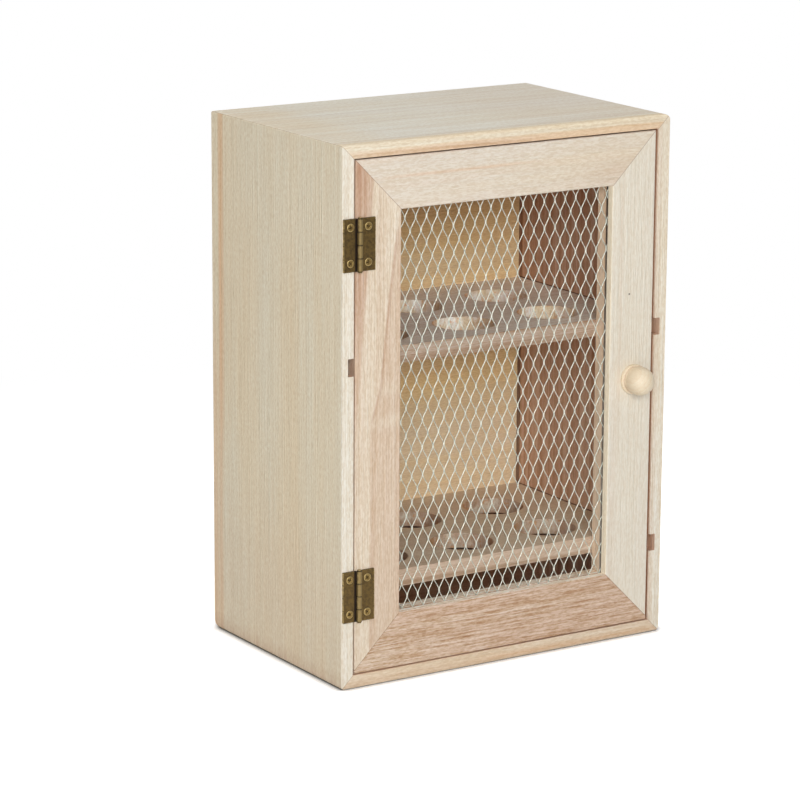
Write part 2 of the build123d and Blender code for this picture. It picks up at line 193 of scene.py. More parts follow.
class WoodSettings(bpy.types.PropertyGroup):
    """Colours and grain of the boards."""

    sapwood: colour("Sapwood", "Pale wood of the carcass and the door", 231, 222, 206)
    blush: colour("Blush", "Pinkish wood of the hinge stile", 229, 214, 192)
    top_wood: colour("Top Wood", "Cool pale wood of the top board", 232, 226, 212)
    rail_wood: colour("Top Rail Wood", "Even wood of the door's top rail", 224, 212, 196)
    cream: colour("Cream", "Yellower bands in the pale wood", 231, 211, 178)
    greywood: colour("Greywood", "Cooler bands in the pale wood", 229, 217, 192)
    pink: colour("Heartwood Pink", "Pink heartwood of the rails and streaks", 206, 176, 150)
    brown: colour("Heartwood Brown", "Late growth lines in the heartwood", 172, 122, 92)
    orange: colour("Orange Streak", "Resinous streaks along the grain", 222, 168, 116)
    inner: colour("Inner Face", "Side boards on the inside", 220, 180, 153)
    taupe: colour("Shelf Wood", "Brownish grey wood of the shelves", 228, 211, 187)
    upper_taupe: colour("Upper Shelf Wood", "Greyer wood of the upper shelf", 252, 241, 228)
    front_edge: colour("Shelf Edge", "Front edges of the shelves", 160, 125, 94)
    panel: colour("Panel Wood", "Yellow face of the back panel", 248, 216, 158)
    # Painted shade: darker brown at the top of each compartment's back, under the shelf or board above.
    panel_shade: colour("Panel Shade", "Browner wood at the top of each compartment's back", 168, 112, 66)
    fuzz: colour("Torn Fibres", "Fibres raised by the cutter in the egg holes", 252, 244, 232)
    # Also painted shade on the door's top face, seen through the narrow space under the top board.
    joint: colour("Joint Line", "Shadow line where two mitres meet", 140, 98, 70)
    # Painted light: a bright colour for the inner wall beside the door and for the sill under the wire mesh,
    # where the cabinet shades them.
    glow: colour("Gap Wall", "Raw edge that shows beside the door", 255, 240, 220)
    reveal: colour("Reveal", "Cut faces round the window", 248, 234, 208)
    reveal_back: colour("Reveal Behind the Kerf", "Cut faces behind the wire mesh", 238, 206, 172)
    # Painted shade: dark brown in the lines where the sides meet the shelves and the back panel, in the mesh's
    # kerf, on the stile beside the hinge barrels and at the bottom of the egg holes; on the knob stile it also
    # marks a real knot.
    gap: colour("Gap", "Dark line where a shelf enters its groove", 56, 31, 18)
    grain_depth: length("Grain Depth", "How deep the open grain is", 0.12)


class MeshSettings(bpy.types.PropertyGroup):
    """Expanded metal sheet of the door."""

    pitch_across: length("Pitch Across", "Width of one diamond", 6.53)
    pitch_up: length("Pitch Up", "Height of one diamond", 14.1)
    top_row: length("Top Row", "Depth of the top row of bonds below the sheet's edge", 8.6)
    bond: length("Bond", "Length over which two strands run side by side", 1.7)
    strand_width: length("Strand Width", "Width of a strand's flat face", 0.47)
    strand_thickness: length("Strand Thickness", "Thickness of a strand", 0.3)
    louvre: angle("Louvre", "Turn of the slanting strands out of the sheet", 44)
    lean: angle("Lean", "Lean of the rows of diamonds from upright", 0.9)
    unevenness: length("Unevenness", "How far the diamonds stray from a regular grid", 0.22)
    zinc: colour("Zinc", "Pale metal of the strands", 240, 241, 228)
    dull_zinc: colour("Dull Zinc", "Duller patches on the strands", 176, 184, 172)


class HingeSettings(bpy.types.PropertyGroup):
    """Antique brass hinges and their screws."""

    brass: colour("Antique Brass", "Dark brass of the leaves", 95, 75, 36)
    patina: colour("Patina", "Darkest patches of the leaves", 67, 52, 25)
    # Wear along the leaves' borders, and painted highlight on the barrels and round the screws' rims.
    worn: colour("Worn Brass", "Rubbed edges and barrel", 206, 182, 126)
    # Patina in the knuckle seams, and painted shade beside the barrel, round the screws and in their recesses.
    crevice: colour("Crevice", "Dirt in the seams and round the screws", 26, 15, 6)
    screw: colour("Screw Brass", "Brass of the screws", 136, 114, 66)
    head_radius: length("Head Radius", "Radius of a screw's head", 2.05)
    dome: length("Dome", "How far a screw's head stands above the leaf", 0.25)
    recess_reach: length("Recess Reach", "Length of one arm of the cross recess", 1.35)
    recess_width: length("Recess Width", "Half the width of an arm of the cross recess", 0.34)
    recess_depth: length("Recess Depth", "Depth of the cross recess", 0.75)


class KnobSettings(bpy.types.PropertyGroup):
    """Turned knob on the door."""

    wood: colour("Knob Wood", "Warm cream wood of the knob", 232, 216, 189)
    line: colour("Knob Growth Line", "Growth lines of the knob", 216, 182, 134)
    steps: IntProperty(name="Steps", description="Faces round the knob", min=16, default=64)


class CabinetSettings(bpy.types.PropertyGroup):
    """All settings of the egg cabinet."""

    stage: PointerProperty(type=StageSettings)
    wood: PointerProperty(type=WoodSettings)
    mesh: PointerProperty(type=MeshSettings)
    hinge: PointerProperty(type=HingeSettings)
    knob: PointerProperty(type=KnobSettings)


def spaced(key):
    """A socket's name from a Python name."""
    return key.replace("_", " ").title()


class Steps:
    """Adds linked nodes to the tree of a material, world or group, so that it reads as a list of steps."""

    def __init__(self, owner):
        self.owner = owner
        self.tree = getattr(owner, "node_tree", owner)

    def put(self, value, socket):
        """Feeds a node's input from a socket, or sets it to a constant."""
        if isinstance(value, bpy.types.NodeSocket):
            self.tree.links.new(value, socket)
        elif socket.type == "RGBA":
            socket.default_value = (*value[:3], 1)
        else:
            socket.default_value = value

    def node(self, kind, values=(), **settings):
        """Adds a node, whose inputs are given by name or in their order; returns its outputs."""
        made = self.tree.nodes.new("ShaderNode" + kind)
        for key, value in settings.items():
            setattr(made, key, value)
        pairs = values.items() if isinstance(values, dict) else enumerate(values)
        for key, value in pairs:
            if value is not None:
                self.put(value, made.inputs[key])
        return made.outputs

    def math(self, operation, *values, clamp=False):
        """One step of arithmetic."""
        return self.node("Math", values, operation=operation, use_clamp=clamp)[0]

    def plus(self, first, second):
        """The sum of two values."""
        return self.math("ADD", first, second)

    def scaled_plus(self, value, factor, more, clamp=False):
        """A value times a factor, and more."""
        return self.math("MULTIPLY_ADD", value, factor, more, clamp=clamp)

    def minus(self, first, second):
        """The first value less the second."""
        return self.math("SUBTRACT", first, second)

    def times(self, first, second):
        """The product of two values."""
        return self.math("MULTIPLY", first, second)

    def most(self, first, second):
        """The greater of two values."""
        return self.math("MAXIMUM", first, second)

    def vector(self, operation, *values):
        """One step of arithmetic on vectors; a length or a product of two is a number."""
        outputs = self.node("VectorMath", values, operation=operation)
        return outputs["Value" if operation in ("LENGTH", "DOT_PRODUCT") else "Vector"]

    def ease(self, value, low, high, start=0.0, end=1.0):
        """Goes smoothly from start to end as the value goes from low to high."""
        return self.node("MapRange", (value, low, high, start, end), interpolation_type="SMOOTHSTEP")[0]

    def noise(self, place, across, along=None, detail=2.0, roughness=0.5):
        """Soft noise with this many waves a metre, across and along the grain; returns value and colour."""
        along = across if along is None else along
        stretched = self.vector("MULTIPLY", place, (across, across, along))
        values = {"Vector": stretched, "Scale": 1.0, "Detail": detail, "Roughness": roughness}
        return self.node("TexNoise", values)

    def pattern(self, place, waves, *ends):
        """Soft noise with the contrast raised by an ease."""
        return self.ease(self.noise(place, *waves)[0], *ends)

    def strayed(self, place, source, amount, *waves):
        """A place moved by noise at the source, by up to half the amount each way."""
        off = self.vector("SUBTRACT", self.noise(source, *waves)[1], (0.5, 0.5, 0.5))
        return self.vector("ADD", place, self.vector("SCALE", off, None, None, amount))

    def mix(self, factor, first, second, blend="MIX"):
        """Mixes two colours."""
        made = self.tree.nodes.new("ShaderNodeMix")
        made.data_type, made.blend_type, made.clamp_factor = "RGBA", blend, True
        colours = [socket for socket in made.inputs if socket.type == "RGBA"]
        for value, socket in zip((factor, first, second), (made.inputs[0], *colours)):
            self.put(value, socket)
        return next(socket for socket in made.outputs if socket.type == "RGBA")

    def shade(self, colour, light):
        """Darkens a colour towards brown or lightens it towards white, as wood does."""
        channels = [self.math("POWER", light, warmth) for warmth in (0.65, 1.0, 1.45)]
        return self.mix(1.0, colour, self.node("CombineColor", channels)[0], "MULTIPLY")

    def apart(self, vector):
        """The three coordinates of a vector."""
        return self.node("SeparateXYZ", (vector,))

    def radius_about(self, here, x, z):
        """Distance from an axis that runs along y."""
        off = self.vector("MULTIPLY", self.vector("SUBTRACT", here, (x, 0.0, z)), (1, 0, 1))
        return self.vector("LENGTH", off)

    def group(self, build, **values):
        """Places the shared group that a function builds the first time it is asked for."""
        made = self.tree.nodes.new("ShaderNodeGroup")
        made.node_tree = bpy.data.node_groups.get(build.__name__) or build(build.__name__)
        for key, value in values.items():
            self.put(value, made.inputs[spaced(key)])
        return made.outputs

    def within(self, position, low, high, softness):
        """Mask of what lies between two places."""
        values = {"position": position, "low": low, "high": high, "softness": softness}
        return self.group(soft_range, **values)["Mask"]

    def bump(self, height, depth):
        """The normal of a surface with this relief."""
        return self.node("Bump", {"Strength": 1.0, "Distance": depth, "Height": height})["Normal"]

    def give(self, **values):
        """Feeds a group's outputs and returns the group."""
        taken = self.tree.nodes.new("NodeGroupOutput")
        for key, value in values.items():
            self.put(value, taken.inputs[spaced(key)])
        return self.owner

    def surface(self, **values):
        """Ends a material in one Principled shader and returns the material."""
        names = {"specular": "Specular IOR Level"}
        shader = self.node("BsdfPrincipled", {names.get(key, spaced(key)): values[key] for key in values})
        self.node("OutputMaterial", {"Surface": shader[0]})
        return self.owner


def emptied(owner):
    """The steps of a material or world, with nothing in its tree yet."""
    owner.use_nodes = True
    owner.node_tree.nodes.clear()
    return Steps(owner)


def new_material(name):
    """The steps of a new material, and its Object coordinates."""
    steps = emptied(bpy.data.materials.new(name))
    return steps, steps.node("TexCoord")["Object"]


def new_group(name, inputs, outputs):
    """An empty shared group with sockets of these kinds; returns its steps and its inputs in order."""
    tree = bpy.data.node_groups.new(name, "ShaderNodeTree")
    for direction, kinds in (("INPUT", inputs), ("OUTPUT", outputs)):
        for kind, labels in kinds.items():
            for label in labels:
                tree.interface.new_socket(label, in_out=direction, socket_type="NodeSocket" + kind)
    given = tree.nodes.new("NodeGroupInput").outputs
    return Steps(tree), [given[label] for labels in inputs.values() for label in labels]


def soft_range(name):
    """Mask that is one between a low and a high place and eases to nothing beyond them."""
    inputs = {"Float": ("Position", "Low", "High", "Softness")}
    steps, (place, low, high, soft) = new_group(name, inputs, {"Float": ("Mask",)})
    rise = steps.ease(place, steps.minus(low, soft), steps.plus(low, soft))
    fall = steps.ease(place, steps.minus(high, soft), steps.plus(high, soft), 1.0, 0.0)
    return steps.give(mask=steps.times(rise, fall))


def wood_figure(name):
    """Growth rings about a pith along z, with fibres, open pores and a tint that comes and goes.

    A ring is the distance from the pith over the ring spacing. Its fraction darkens slowly through the
    early wood to a line of late wood, and drops back.
    """
    contrasts = ("Rings", "Fibre", "Dash", "Band", "Speckle", "Pore", "Tint")
    inputs = {
        "Vector": ("Vector",),
        "Color": ("Early", "Late", "Tinted"),
        "Float": ("Spacing", "Wander", "Ripple", *contrasts),
    }
    outputs = {"Color": ("Color",), "Float": ("Shade", "Streaks", "Height", "Roughness")}
    steps, given = new_group(name, inputs, outputs)
    here, early, late_colour, tinted, spacing, wander, ripple, *contrasts = given
    rings, fibre, dash, band, speckle, pore, tint = contrasts
    moved = steps.strayed(here, here, wander, 14, 4, 1.0)
    moved = steps.strayed(moved, here, ripple, 70, 26, 2.0)
    radius = steps.vector("LENGTH", steps.vector("MULTIPLY", moved, (1, 1, 0)))
    ring = steps.math("DIVIDE", radius, spacing)
    uneven = steps.node("TexNoise", {"W": ring, "Scale": 0.37, "Detail": 1.0}, noise_dimensions="1D")[0]
    ring = steps.plus(ring, steps.times(uneven, 2.2))
    part = steps.math("FRACT", ring)
    late = steps.times(steps.math("POWER", part, 2.4), steps.ease(part, 0.9, 1.0, 1.0, 0.0))
    own = steps.node("TexWhiteNoise", {"W": steps.math("FLOOR", ring)}, noise_dimensions="1D")[0]
    late = steps.times(late, steps.scaled_plus(own, 0.9, 0.35))

    lines = steps.pattern(here, (820, 9, 3.0, 0.65), 0.28, 0.72, -1.0, 1.0)
    dashes = steps.pattern(here, (1150, 52, 3.0, 0.65), 0.34, 0.66, -1.0, 1.0)
    fibres = steps.scaled_plus(lines, steps.minus(1.0, dash), steps.times(dashes, dash))
    bands = steps.pattern(here, (190, 3, 3.0, 0.6), 0.3, 0.7, -1.0, 1.0)
    cells = steps.vector("MULTIPLY", here, (950, 950, 62))
    distance = steps.node("TexVoronoi", {"Vector": cells, "Scale": 1.0})["Distance"]
    crowd = steps.pattern(here, (120, 12, 2.0), 0.42, 0.62)
    pores = steps.times(steps.ease(distance, 0.1, 0.26, 1.0, 0.0), crowd)
    specks = steps.pattern(here, (1500, 420, 1.0), 0.35, 0.65, -1.0, 1.0)
    streaks = steps.pattern(here, (210, 3.5, 3.0, 0.6), 0.34, 0.66)
    cloud = steps.pattern(here, (34, 5, 2.0, 0.5), 0.38, 0.66)

    tinting = steps.times(cloud, steps.scaled_plus(streaks, 0.35, 0.65))
    base = steps.mix(steps.times(tinting, tint), early, tinted)
    base = steps.mix(steps.times(late, rings), base, late_colour)
    light = 1.0
    for relief, contrast in ((fibres, fibre), (bands, band), (specks, speckle)):
        light = steps.scaled_plus(relief, contrast, light)
    light = steps.minus(light, steps.times(pores, pore))
    height = steps.minus(fibres, steps.times(pores, 0.8))
    height = steps.minus(height, steps.times(late, 0.15))
    roughness = steps.scaled_plus(fibres, 0.06, 0.8, clamp=True)
    return steps.give(color=base, shade=light, streaks=streaks, height=height, roughness=roughness)


def mottle(name):
    """Blotches of two sizes and fine pitting, for metals."""
    outputs = {"Float": ("Blotches", "Height", "Roughness")}
    steps, (here, size) = new_group(name, {"Vector": ("Vector",), "Float": ("Size",)}, outputs)
    scaled = steps.vector("DIVIDE", here, size)
    large = steps.noise(scaled, 1.0, None, 4.0, 0.6)[0]
    small = steps.noise(scaled, 6.0, None, 3.0, 0.6)[0]
    both = steps.plus(steps.times(large, 0.65), steps.times(small, 0.35))
    roughness = steps.scaled_plus(both, 0.5, 0.14)
    return steps.give(blotches=steps.ease(both, 0.36, 0.64), height=small, roughness=roughness)


def egg_hole(name):
    """Mask of the walls of the egg holes, from the distance to the nearest hole's axis.

    It also gives the place across the hole, from minus one at its left end to one at its right.
    """
    inputs = {"Vector": ("Vector",), "Float": ("Column Pitch", "Row Pitch", "Middle", "Radius")}
    steps, (here, pitch, row_pitch, middle, radius) = new_group(name, inputs, {"Float": ("Mask", "Across")})
    x, y, _ = steps.apart(here)
    column = steps.math("DIVIDE", x, pitch)
    nearest = steps.math("MINIMUM", steps.most(steps.math("ROUND", column), -1.0), 1.0)
    across = steps.times(steps.minus(column, nearest), pitch)
    down = steps.math("ABSOLUTE", steps.minus(y, middle))
    down = steps.minus(down, steps.times(row_pitch, 0.5))
    from_axis = steps.vector("LENGTH", steps.node("CombineXYZ", (across, down, 0.0))[0])
    wall = steps.ease(steps.minus(from_axis, radius), 0.1 * MM, 0.7 * MM, 1.0, 0.0)
    return steps.give(mask=wall, across=steps.math("DIVIDE", across, radius))


def mitre_line(name):
    """Mask of the fine line that runs outwards from each corner of an opening.

    Both distances beyond the opening are equal on a mitre, so the line is where they differ by little.
    """
    inputs = {"Vector": ("Vector", "Middle", "Half"), "Float": ("Width", "Strength")}
    steps, (here, middle, half, width, strength) = new_group(name, inputs, {"Float": ("Mask",)})
    from_middle = steps.vector("ABSOLUTE", steps.vector("SUBTRACT", here, middle))
    x, _, z = steps.apart(steps.vector("SUBTRACT", from_middle, half))
    line = steps.ease(steps.math("ABSOLUTE", steps.minus(x, z)), 0.0, width, strength, 0.0)
    return steps.give(mask=steps.times(line, steps.ease(x, -0.1 * MM, 0.1 * MM)))


def mitres_round(left, right, bottom, top, strength):
    """Where the mitres of a frame are, from the inner sides of its four members."""
    low = Vector((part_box(left)[1][0], 0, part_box(bottom)[1][2]))
    high = Vector((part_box(right)[0][0], 0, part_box(top)[0][2]))
    return {"middle": (low + high) / 2, "half": (high - low) / 2, "width": 0.35 * MM, "strength": strength}


def zone(shade, strength, streaky, slanted=None, **axes):
    """Part of a board in another colour, for other wood and for painted light and shade: its colour, strength
    and streakiness, and its soft box's limits.

    The limits are low, high and softness in millimetres on each axis. Slanted limits have a direction
    before them, whose product with the place is taken.
    """
    limits = [slanted] if slanted else []
    return shade, strength, streaky, limits + [(axis, *ends) for axis, ends in axes.items()]


def masked(steps, here, limits):
    """Mask of a soft box."""
    places = steps.apart(here)
    mask = None
    for axis, *ends in limits:
        place = places[AXES[axis]] if axis in AXES else steps.vector("DOT_PRODUCT", here, axis)
        found = steps.within(place, *(end * MM for end in ends))
        mask = found if mask is None else steps.times(mask, found)
    return mask


def figured(steps, place, **changes):
    """The wood figure of a plain board, apart from the changes."""
    values = {**PLAIN_BOARD, **changes}
    for key in ("spacing", "wander", "ripple"):
        values[key] *= MM
    return steps.group(wood_figure, vector=place, **values)


def torn_walls(steps, here, s, holes, rim, first, second):
    """Fibres torn by the cutter in the egg holes: their mask, their colour and how far they stand out.

    They are orange at the left of a hole and brown at its right, with painted shade below the rim's height.
    """
    hole = steps.group(egg_hole, vector=here, **holes)
    tufts = steps.noise(here, 900, 300, 4.0, 0.7)[0]
    torn = steps.mix(steps.pattern(here, (130, 90, 3.0, 0.6), 0.4, 0.6), first, second)
    torn = steps.shade(torn, steps.ease(tufts, 0.36, 0.64, 0.84, 1.12))
    specks = steps.pattern(here, (420, None, 2.0), 0.58, 0.68)
    torn = steps.mix(steps.times(specks, 0.7), torn, s.orange)
    ragged = steps.scaled_plus(tufts, 0.5, hole["Across"])
    torn = steps.mix(steps.ease(ragged, -0.55, 0.0, 0.85, 0.0), torn, s.orange)
    torn = steps.mix(steps.ease(hole["Across"], 0.45, 1.0, 0.0, 0.45), torn, s.brown)
    # Painted shade at the bottom of each hole's wall, up to the rim's height.
    under = steps.ease(steps.apart(here)[2], rim - 0.4 * MM, rim + 0.4 * MM, 0.95, 0.0)
    torn = steps.mix(under, torn, s.gap)
    return hole["Mask"], torn, steps.times(steps.minus(tufts, 0.5), 5.0)


def wood(name, s, pith, zones, grain="z", mitres=None, holes=None, **figure):
    """A board's finish: its figure, then zones of other wood and of painted light and shade, mitre lines and
    torn hole walls.

    The pith is where the rings' middle lies, in millimetres, once the grain has been turned along z.
    """
    steps, here = new_material(name)
    values = {"Vector": here, "Location": Vector(pith) * MM, "Rotation": GRAIN_TURNS[grain]}
    turned = steps.node("Mapping", values)[0]
    found = figured(steps, turned, **{"early": s.sapwood, "late": s.brown, "tinted": s.cream, **figure})
    painted, height = found["Color"], found["Height"]
    wobbled = steps.strayed(here, turned, 2.0 * MM, 60, 12, 2.0)
    for shade, strength, streaky, limits in zones:
        firm = all(softness < FIRM_SOFTNESS for *_, softness in limits)
        mask = masked(steps, here if firm else wobbled, limits)
        broken = steps.scaled_plus(found["Streaks"], streaky, 1.0 - streaky)
        painted = steps.mix(steps.times(steps.times(mask, broken), strength), painted, shade)
    painted = steps.shade(painted, found["Shade"])
    if mitres:
        painted = steps.mix(steps.group(mitre_line, vector=here, **mitres)["Mask"], painted, s.joint)
    if holes:
        wall, torn, rough = torn_walls(steps, here, s, *holes)
        painted = steps.mix(wall, painted, torn)
        height = steps.plus(height, steps.times(rough, wall))
    normal = steps.bump(height, s.grain_depth)
    return steps.surface(base_color=painted, roughness=found["Roughness"], specular=0.3, normal=normal)


def metal_surface(steps, blotched, painted, metallic, rougher, relief):
    """Ends a metal's material; its gloss and its relief, in millimetres, follow its blotches."""
    roughness = blotched["Roughness"]
    if rougher is not None:
        roughness = steps.plus(roughness, rougher)
    normal = steps.bump(blotched["Height"], relief * MM)
    return steps.surface(base_color=painted, metallic=metallic, roughness=roughness, normal=normal)


def metal(node):
    """A plain metal with soft blotches."""
    name, bright, dull, size, rougher = METALS[node]
    steps, here = new_material(name)
    blotched = steps.group(mottle, vector=here, size=size * MM)
    painted = steps.mix(blotched["Blotches"], dull, bright)
    return metal_surface(steps, blotched, painted, 0.9, rougher, 0.03)


def finish_node(name, material):
    """Gives a CAD node its finish."""
    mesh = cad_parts[name].data
    if not mesh.materials:
        mesh.materials.append(material)
    for index in range(len(mesh.materials)):
        mesh.materials[index] = material


def board(name, s, pith, *zones, **values):
    """Finishes a board of the cabinet in wood of its own."""
    finish_node(name, wood(name + "_wood", s, pith, zones, **values))


def placed(name, data):
    """A new object in the scene."""
    made = bpy.data.objects.new(name, data)
    bpy.context.scene.collection.objects.link(made)
    return made


def new_piece(name, points, faces, material, body, replaced):
    """Makes a smooth mesh from whole arrays, sets its finish and ties it to its body."""
    mesh = bpy.data.meshes.new(name)
    mesh.from_pydata(points.reshape(-1, 3).tolist(), [], faces)
    mesh.polygons.foreach_set("use_smooth", np.full(len(mesh.polygons), True))
    mesh.materials.append(material)
    mesh.update()
    piece = placed(name, mesh)
    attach(piece, body)
    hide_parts(replaced)


def middle_of(node):
    """Middle of a CAD node's box."""
    low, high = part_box(node)
    return (Vector(low) + Vector(high)) / 2


def ring_faces(rings, sides):
    """Quads between neighbouring rings of points, wrapped round."""
    ring, side = np.meshgrid(np.arange(rings - 1), np.arange(sides), indexing="ij")
    beside = (side + 1) % sides
    corners = ((ring, side), (ring, beside), (ring + 1, beside), (ring + 1, side))
    return np.stack([row * sides + column for row, column in corners], axis=-1).reshape(-1, 4)


def turned_points(radii, heights, sides):
    """Points of a turned form: at each height, a ring of the radius there. Returns rings x sides x 3."""
    around = np.linspace(0, 2 * np.pi, sides, endpoint=False)
    x, y = np.outer(radii, np.cos(around)), np.outer(radii, np.sin(around))
    z = np.repeat(np.asarray(heights, float)[:, None], sides, axis=1)
    return np.stack([x, y, z], axis=-1)


def turned_faces(rings, sides):
    """Quads of a turned form and the two fans that close its poles, one point each, kept last."""
    first, last = rings * sides, rings * sides + 1
    around = np.arange(sides)
    beside = (around + 1) % sides
    base = (rings - 1) * sides
    bottom = np.stack([beside, around, np.full(sides, first)], axis=-1)
    top = np.stack([base + around, base + beside, np.full(sides, last)], axis=-1)
    return ring_faces(rings, sides).tolist() + bottom.tolist() + top.tolist()


class CABINET_OT_stage(bpy.types.Operator):
    """Build the floor, the even light, the three lamps and the camera"""

    bl_idname = "egg_cabinet.stage"
    bl_label = "Stage"

    def execute(self, context):
        s = context.scene.egg_cabinet.stage
        self.add_floor(s)
        self.add_sky(context, s)
        for name in LAMPS:
            self.add_lamp(name, getattr(s, name + "_power"))
        self.add_camera(context, s)
        context.scene.view_settings.view_transform = "Standard"
        return {"FINISHED"}

    def seen_directly(self, steps):
        """One for rays that should meet the white background."""
        path = steps.node("LightPath")
        seen = steps.most(path["Is Camera Ray"], path["Is Glossy Ray"])
        return steps.most(seen, path["Is Transmission Ray"])

    def add_floor(self, s):
        """A square floor that lights the cabinet plainly but looks white, with a steeper shadow.

        Far from the cabinet the steep part fades out, and the glow rises to plain white.
        """
        half = s.floor_size / 2
        mesh = bpy.data.meshes.new("floor")
        corners = [(-half, -half, 0), (half, -half, 0), (half, half, 0), (-half, half, 0)]
        mesh.from_pydata(corners, [], [(0, 1, 2, 3)])
        steps, here = new_material("floor_paper")
        plain = steps.node("BsdfDiffuse", {"Color": s.floor_colour})[0]
        open_share = steps.node("AmbientOcclusion", {"Distance": s.contact_reach}, samples=8)["AO"]
        contact = steps.math("POWER", open_share, 1.7)
        away = steps.vector("LENGTH", here)
        near, far = s.floor_size * 0.1, s.floor_size * 0.25
        gained = steps.times(contact, steps.ease(away, near, far, s.floor_shadow_gain, 0.0))
        grey = steps.node("CombineColor", (gained, gained, gained))[0]
        steep = steps.node("BsdfDiffuse", {"Color": grey})[0]
        strength = steps.times(contact, steps.ease(away, near, far, s.floor_glow, 1.0))
        glow = steps.node("Emission", {"Strength": strength})[0]
        white = steps.node("AddShader", (steep, glow))[0]
        mixed = steps.node("MixShader", (self.seen_directly(steps), plain, white))[0]
        steps.node("OutputMaterial", {"Surface": mixed})
        mesh.materials.append(steps.owner)
        placed("floor", mesh)

    def add_sky(self, context, s):
        """Even light from all round, white where it is seen directly."""
        context.scene.world = bpy.data.worlds.new("studio")
        steps = emptied(context.scene.world)
        values = {0: self.seen_directly(steps), 2: s.sky_strength, 3: 1.0}
        strength = steps.node("Mix", values, data_type="FLOAT")[0]
        sky = steps.node("Background", {"Color": (1, 1, 1), "Strength": strength})
        steps.node("OutputWorld", {"Surface": sky[0]})

    def add_lamp(self, name, energy):
        """A square soft lamp that faces the cabinet."""
        towards, distance, size = LAMPS[name]
        lamp = bpy.data.lights.new(name + "_lamp", "AREA")
        lamp.size, lamp.energy = size, energy
        towards = Vector(towards)
        holder = placed(name + "_lamp", lamp)
        middle = Vector((0, 0, (cad_box[0][2] + cad_box[1][2]) / 2))
        holder.location = middle + towards.normalized() * distance
        holder.rotation_euler = towards.to_track_quat("Z", "Y").to_euler()

    def add_camera(self, context, s):
        """The camera, turned by its heading, dip and roll."""
        camera = bpy.data.cameras.new("camera")
        camera.lens = s.focal_length
        camera.clip_end = 20
        turn = Euler((math.pi / 2 - s.camera_dip, 0, -s.camera_heading)).to_matrix()
        turn = turn @ Matrix.Rotation(s.camera_roll, 3, "Z")
        context.scene.camera = placed("camera", camera)
        context.scene.camera.matrix_world = Matrix.Translation(s.camera_place) @ turn.to_4x4()


